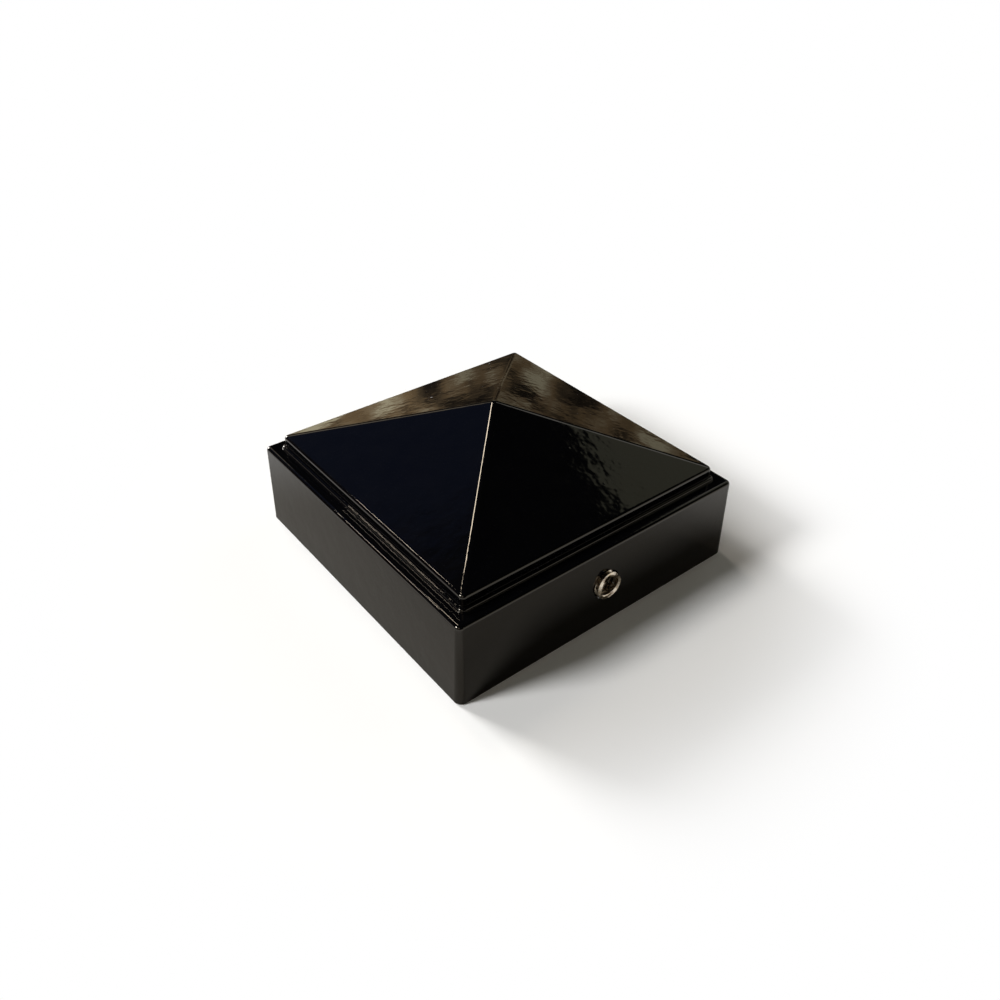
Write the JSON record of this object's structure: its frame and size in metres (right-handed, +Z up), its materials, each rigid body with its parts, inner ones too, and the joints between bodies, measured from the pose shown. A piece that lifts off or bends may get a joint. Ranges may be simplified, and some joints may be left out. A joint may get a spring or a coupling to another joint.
{
  "type": "post finial",
  "caption": "Square pyramid cap for a post, with a stepped moulding round its roof, a hollow underside and a hex socket set screw in one wall.",
  "frame": {"origin": "middle of the open bottom rim, in the plane of the rim", "axes": "+Z up to the apex, -Y out of the wall that carries the set screw"},
  "size_m": [0.073, 0.074, 0.0349],
  "materials": {
    "powder_coat": "gloss black powder coat on cast aluminium",
    "screw_steel": "bare bright steel, machined"
  },
  "bodies": {
    "root": {"post_cap": "powder_coat", "set_screw": "screw_steel"}
  },
  "joints": []
}
